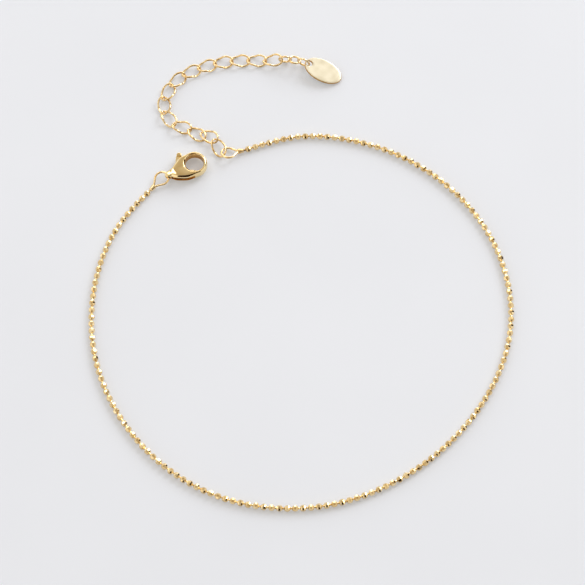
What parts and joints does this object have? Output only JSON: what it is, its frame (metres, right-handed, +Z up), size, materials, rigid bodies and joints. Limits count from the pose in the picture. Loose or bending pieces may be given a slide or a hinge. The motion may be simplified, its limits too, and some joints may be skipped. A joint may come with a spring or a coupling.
{
  "type": "anklet",
  "caption": "Gold-plated faceted bead chain anklet, unfastened, with lobster clasp, curb-link extender and a plain oval tag.",
  "frame": {"origin": "bottom centre of the bounding box: the middle of the footprint on the surface", "axes": "+Z up from the surface; +Y from the loop's plain side to the extender's end"},
  "size_m": [0.078, 0.0934, 0.0028],
  "materials": {
    "bead_gold": "polished gold plate, cut facets",
    "ring_gold": "polished gold plate",
    "clasp_gold": "mirror-polished gold plate",
    "link_gold": "polished gold plate",
    "tag_gold": "satin gold plate"
  },
  "bodies": {
    "anklet": {"bead_chain": "bead_gold", "clasp_ring": "ring_gold", "clasp_body": "clasp_gold", "lever_pin": "clasp_gold", "extender_ring": "ring_gold", "extender_link_01": "link_gold", "extender_link_02": "link_gold", "extender_link_03": "link_gold", "extender_link_04": "link_gold", "extender_link_05": "link_gold", "extender_link_06": "link_gold", "extender_link_07": "link_gold", "extender_link_08": "link_gold", "extender_link_09": "link_gold", "extender_link_10": "link_gold", "extender_link_11": "link_gold", "extender_link_12": "link_gold", "extender_link_13": "link_gold", "extender_link_14": "link_gold", "round_link_1": "link_gold", "round_link_2": "link_gold", "tag_ring": "link_gold", "tag": "tag_gold"},
    "lever": {"clasp_lever": "clasp_gold"}
  },
  "joints": [
    {"name": "lever_hinge", "type": "hinge", "parent": "anklet", "child": "lever", "pos_m": [-0.02301, 0.02104, 0.0011], "axis": [0, 0, 1], "range_deg": [0, 22], "stiffness_Nm_per_rad": 0.004}
  ]
}
